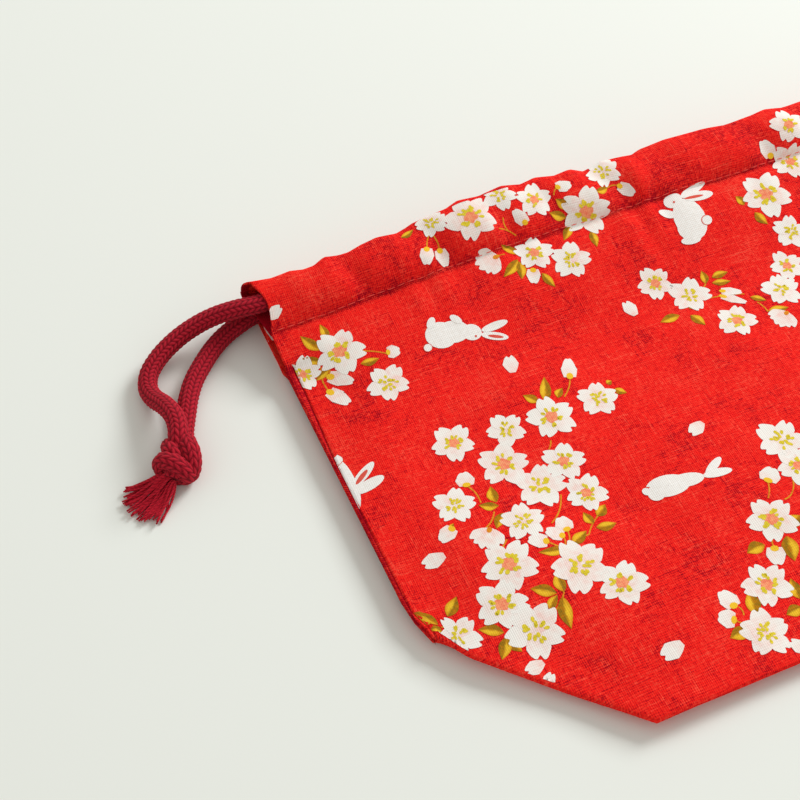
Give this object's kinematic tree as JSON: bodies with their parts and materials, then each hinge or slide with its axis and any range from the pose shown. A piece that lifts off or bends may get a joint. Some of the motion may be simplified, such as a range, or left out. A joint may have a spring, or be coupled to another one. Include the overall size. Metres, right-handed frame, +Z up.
{
  "type": "kinchaku drawstring pouch",
  "caption": "Flat-lying kinchaku drawstring pouch of red slub cotton with a folded gusset, hemmed casings and a knotted braided cord.",
  "frame": {"origin": "on the table, under the middle of the flat-lying pouch", "axes": "+X along the mouth, the knot's side at -X; +Y from the base fold to the mouth; +Z up"},
  "size_m": [0.3941, 0.2034, 0.0233],
  "materials": {
    "red_slub_cotton": "matt slub-weave cotton, printed with pale blossoms",
    "crimson_braid": "matt braided cotton cord"
  },
  "bodies": {
    "pouch": {"pouch_cloth": "red_slub_cotton"},
    "cord": {"drawstring": "crimson_braid", "cord_knot": "crimson_braid", "cord_tassel": "crimson_braid"}
  },
  "joints": [
    {"name": "drawstring_pull", "type": "slide", "parent": "pouch", "child": "cord", "axis": [-1, 0, 0], "range_m": [0, 0.009]}
  ]
}
